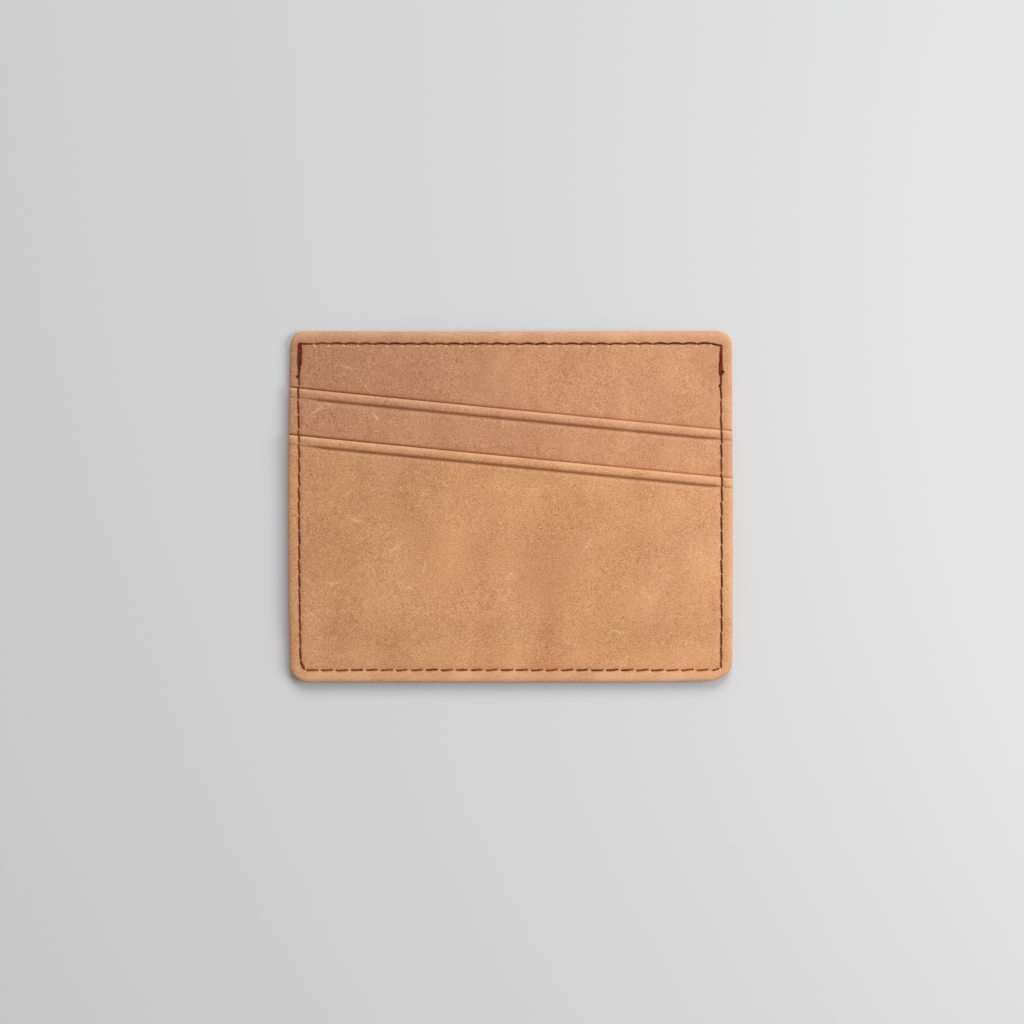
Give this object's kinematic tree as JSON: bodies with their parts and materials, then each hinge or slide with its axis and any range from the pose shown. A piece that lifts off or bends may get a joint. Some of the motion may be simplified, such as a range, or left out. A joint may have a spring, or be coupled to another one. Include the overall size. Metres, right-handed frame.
{
  "type": "card holder",
  "caption": "Slim tan leather card holder with slanted, turned front card pockets and a lined centre pocket that opens at the top.",
  "frame": {"origin": "middle of the back face, which lies on the surface that the holder rests on", "axes": "+X to the holder's right along its long side, +Y towards the edge where the centre pocket opens, +Z out of the front with the slanted pockets"},
  "size_m": [0.101, 0.08, 0.0042],
  "materials": {
    "nubuck_leather": "matt tan nubuck with a fine nap, soft mottling, short pale scuffs and paler pull-up along folds and edges",
    "lining_cloth": "thin brown twill lining, matt",
    "seam_thread": "twisted red-brown polyester sewing thread, slightly waxed"
  },
  "bodies": {
    "root": {"back_panel": "nubuck_leather", "back_lining": "lining_cloth", "front_lining": "lining_cloth", "front_panel": "nubuck_leather", "upper_pocket": "nubuck_leather", "lower_pocket": "nubuck_leather", "side_seam_needle_thread": "seam_thread", "side_seam_bobbin_thread": "seam_thread", "front_top_needle_thread": "seam_thread", "front_top_bobbin_thread": "seam_thread", "back_top_needle_thread": "seam_thread", "back_top_bobbin_thread": "seam_thread", "pocket_base_needle_thread": "seam_thread", "pocket_base_bobbin_thread": "seam_thread"}
  },
  "joints": []
}
